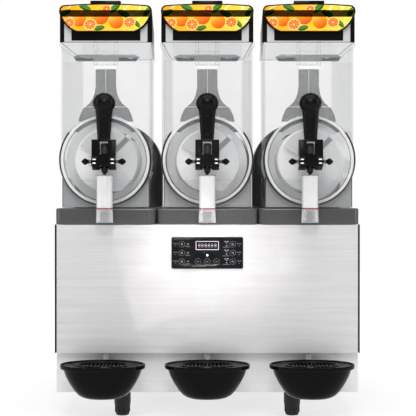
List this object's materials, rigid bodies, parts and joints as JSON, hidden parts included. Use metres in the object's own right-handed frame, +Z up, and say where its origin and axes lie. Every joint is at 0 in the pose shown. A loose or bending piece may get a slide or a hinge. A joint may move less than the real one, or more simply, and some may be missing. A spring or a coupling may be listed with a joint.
{
  "type": "slushie machine",
  "caption": "Counter-top slush machine with three clear bowls, turning augers, pull taps, drip trays, lift-off light-box lids and a stainless steel base.",
  "frame": {"origin": "on the floor plane under the middle of the machine's box", "axes": "+Z up, -Y towards the taps, +X to the right of someone facing the taps"},
  "size_m": [0.6, 0.528, 0.8222],
  "materials": {
    "stainless": "brushed",
    "drum_steel": "satin",
    "galvanised": "satin",
    "clear_plastic": "clear gloss",
    "white_plastic": "gloss",
    "black_gloss": "gloss",
    "black_satin": "satin",
    "keypad_gloss": "gloss",
    "button_plastic": "satin",
    "rubber": "matt",
    "printed_panel": "gloss print",
    "black_paint": "semi gloss",
    "fan_plastic": "satin"
  },
  "bodies": {
    "base": {"base_pan": "stainless", "front_panel": "stainless", "casing": "stainless", "top_plate": "galvanised", "compressor": "black_paint", "condenser": "galvanised", "control_panel": "keypad_gloss", "foot_front_left": "rubber", "foot_front_right": "rubber", "foot_rear_left": "rubber", "foot_rear_right": "rubber", "deck_left": "black_satin", "rear_cover_left": "black_gloss", "drum_left": "drum_steel", "gear_motor_left": "galvanised", "deck_middle": "black_satin", "rear_cover_middle": "black_gloss", "drum_middle": "drum_steel", "gear_motor_middle": "galvanised", "deck_right": "black_satin", "rear_cover_right": "black_gloss", "drum_right": "drum_steel", "gear_motor_right": "galvanised"},
    "fan": {"fan": "fan_plastic"},
    "button_left_top": {"button_left_top": "button_plastic"},
    "button_left_middle": {"button_left_middle": "button_plastic"},
    "button_left_bottom": {"button_left_bottom": "button_plastic"},
    "button_right_top": {"button_right_top": "button_plastic"},
    "button_right_middle": {"button_right_middle": "button_plastic"},
    "button_right_bottom": {"button_right_bottom": "button_plastic"},
    "button_centre_left": {"button_centre_left": "button_plastic"},
    "button_centre_middle": {"button_centre_middle": "button_plastic"},
    "button_centre_right": {"button_centre_right": "button_plastic"},
    "bowl_left": {"bowl_left": "clear_plastic", "tap_pin_left": "black_gloss"},
    "lid_left": {"lid_left": "black_gloss", "lid_lens_left": "printed_panel"},
    "auger_left": {"auger_left": "white_plastic"},
    "tap_handle_left": {"tap_handle_left": "black_gloss"},
    "tap_piston_left": {"tap_piston_left": "white_plastic"},
    "drip_tray_left": {"drip_tray_left": "black_gloss"},
    "drip_grid_left": {"drip_grid_left": "black_gloss"},
    "bowl_middle": {"bowl_middle": "clear_plastic", "tap_pin_middle": "black_gloss"},
    "lid_middle": {"lid_middle": "black_gloss", "lid_lens_middle": "printed_panel"},
    "auger_middle": {"auger_middle": "white_plastic"},
    "tap_handle_middle": {"tap_handle_middle": "black_gloss"},
    "tap_piston_middle": {"tap_piston_middle": "white_plastic"},
    "drip_tray_middle": {"drip_tray_middle": "black_gloss"},
    "drip_grid_middle": {"drip_grid_middle": "black_gloss"},
    "bowl_right": {"bowl_right": "clear_plastic", "tap_pin_right": "black_gloss"},
    "lid_right": {"lid_right": "black_gloss", "lid_lens_right": "printed_panel"},
    "auger_right": {"auger_right": "white_plastic"},
    "tap_handle_right": {"tap_handle_right": "black_gloss"},
    "tap_piston_right": {"tap_piston_right": "white_plastic"},
    "drip_tray_right": {"drip_tray_right": "black_gloss"},
    "drip_grid_right": {"drip_grid_right": "black_gloss"}
  },
  "joints": [
    {"name": "fan_spin", "type": "hinge", "parent": "base", "child": "fan", "pos_m": [0.13, 0.13, 0.183], "axis": [0, 1, 0], "continuous": true},
    {"name": "button_left_top_press", "type": "slide", "parent": "base", "child": "button_left_top", "axis": [0, 1, 0], "range_m": [0, 0.001], "stiffness_N_per_m": 300},
    {"name": "button_left_middle_press", "type": "slide", "parent": "base", "child": "button_left_middle", "axis": [0, 1, 0], "range_m": [0, 0.001], "stiffness_N_per_m": 300},
    {"name": "button_left_bottom_press", "type": "slide", "parent": "base", "child": "button_left_bottom", "axis": [0, 1, 0], "range_m": [0, 0.001], "stiffness_N_per_m": 300},
    {"name": "button_right_top_press", "type": "slide", "parent": "base", "child": "button_right_top", "axis": [0, 1, 0], "range_m": [0, 0.001], "stiffness_N_per_m": 300},
    {"name": "button_right_middle_press", "type": "slide", "parent": "base", "child": "button_right_middle", "axis": [0, 1, 0], "range_m": [0, 0.001], "stiffness_N_per_m": 300},
    {"name": "button_right_bottom_press", "type": "slide", "parent": "base", "child": "button_right_bottom", "axis": [0, 1, 0], "range_m": [0, 0.001], "stiffness_N_per_m": 300},
    {"name": "button_centre_left_press", "type": "slide", "parent": "base", "child": "button_centre_left", "axis": [0, 1, 0], "range_m": [0, 0.001], "stiffness_N_per_m": 300},
    {"name": "button_centre_middle_press", "type": "slide", "parent": "base", "child": "button_centre_middle", "axis": [0, 1, 0], "range_m": [0, 0.001], "stiffness_N_per_m": 300},
    {"name": "button_centre_right_press", "type": "slide", "parent": "base", "child": "button_centre_right", "axis": [0, 1, 0], "range_m": [0, 0.001], "stiffness_N_per_m": 300},
    {"name": "auger_left_spin", "type": "hinge", "parent": "base", "child": "auger_left", "pos_m": [-0.2, 0, 0.5088], "axis": [0, 1, 0], "continuous": true},
    {"name": "bowl_left_slide", "type": "slide", "parent": "base", "child": "bowl_left", "axis": [0, -1, 0], "range_m": [0, 0.31]},
    {"name": "lid_left_lift", "type": "slide", "parent": "bowl_left", "child": "lid_left", "axis": [0, 0, 1], "range_m": [0, 0.09]},
    {"name": "tap_left_pull", "type": "hinge", "parent": "bowl_left", "child": "tap_handle_left", "pos_m": [-0.2, -0.186, 0.5048], "axis": [1, 0, 0], "range_deg": [0, 60], "stiffness_Nm_per_rad": 0.4},
    {"name": "piston_left_rise", "type": "slide", "parent": "bowl_left", "child": "tap_piston_left", "axis": [0, 0, 1], "range_m": [0, 0.02196]},
    {"name": "tray_left_pull", "type": "slide", "parent": "base", "child": "drip_tray_left", "axis": [0, -1, 0], "range_m": [0, 0.09]},
    {"name": "grid_left_lift", "type": "slide", "parent": "drip_tray_left", "child": "drip_grid_left", "axis": [0, 0, 1], "range_m": [0, 0.05]},
    {"name": "auger_middle_spin", "type": "hinge", "parent": "base", "child": "auger_middle", "pos_m": [0, 0, 0.5088], "axis": [0, 1, 0], "continuous": true},
    {"name": "bowl_middle_slide", "type": "slide", "parent": "base", "child": "bowl_middle", "axis": [0, -1, 0], "range_m": [0, 0.31]},
    {"name": "lid_middle_lift", "type": "slide", "parent": "bowl_middle", "child": "lid_middle", "axis": [0, 0, 1], "range_m": [0, 0.09]},
    {"name": "tap_middle_pull", "type": "hinge", "parent": "bowl_middle", "child": "tap_handle_middle", "pos_m": [0, -0.186, 0.5048], "axis": [1, 0, 0], "range_deg": [0, 60], "stiffness_Nm_per_rad": 0.4},
    {"name": "piston_middle_rise", "type": "slide", "parent": "bowl_middle", "child": "tap_piston_middle", "axis": [0, 0, 1], "range_m": [0, 0.02196]},
    {"name": "tray_middle_pull", "type": "slide", "parent": "base", "child": "drip_tray_middle", "axis": [0, -1, 0], "range_m": [0, 0.09]},
    {"name": "grid_middle_lift", "type": "slide", "parent": "drip_tray_middle", "child": "drip_grid_middle", "axis": [0, 0, 1], "range_m": [0, 0.05]},
    {"name": "auger_right_spin", "type": "hinge", "parent": "base", "child": "auger_right", "pos_m": [0.2, 0, 0.5088], "axis": [0, 1, 0], "continuous": true},
    {"name": "bowl_right_slide", "type": "slide", "parent": "base", "child": "bowl_right", "axis": [0, -1, 0], "range_m": [0, 0.31]},
    {"name": "lid_right_lift", "type": "slide", "parent": "bowl_right", "child": "lid_right", "axis": [0, 0, 1], "range_m": [0, 0.09]},
    {"name": "tap_right_pull", "type": "hinge", "parent": "bowl_right", "child": "tap_handle_right", "pos_m": [0.2, -0.186, 0.5048], "axis": [1, 0, 0], "range_deg": [0, 60], "stiffness_Nm_per_rad": 0.4},
    {"name": "piston_right_rise", "type": "slide", "parent": "bowl_right", "child": "tap_piston_right", "axis": [0, 0, 1], "range_m": [0, 0.02196]},
    {"name": "tray_right_pull", "type": "slide", "parent": "base", "child": "drip_tray_right", "axis": [0, -1, 0], "range_m": [0, 0.09]},
    {"name": "grid_right_lift", "type": "slide", "parent": "drip_tray_right", "child": "drip_grid_right", "axis": [0, 0, 1], "range_m": [0, 0.05]}
  ],
  "couplings": [
    {"joint": "piston_left_rise", "follows": "tap_left_pull", "m_per_rad": 0.02096},
    {"joint": "piston_middle_rise", "follows": "tap_middle_pull", "m_per_rad": 0.02096},
    {"joint": "piston_right_rise", "follows": "tap_right_pull", "m_per_rad": 0.02096}
  ]
}
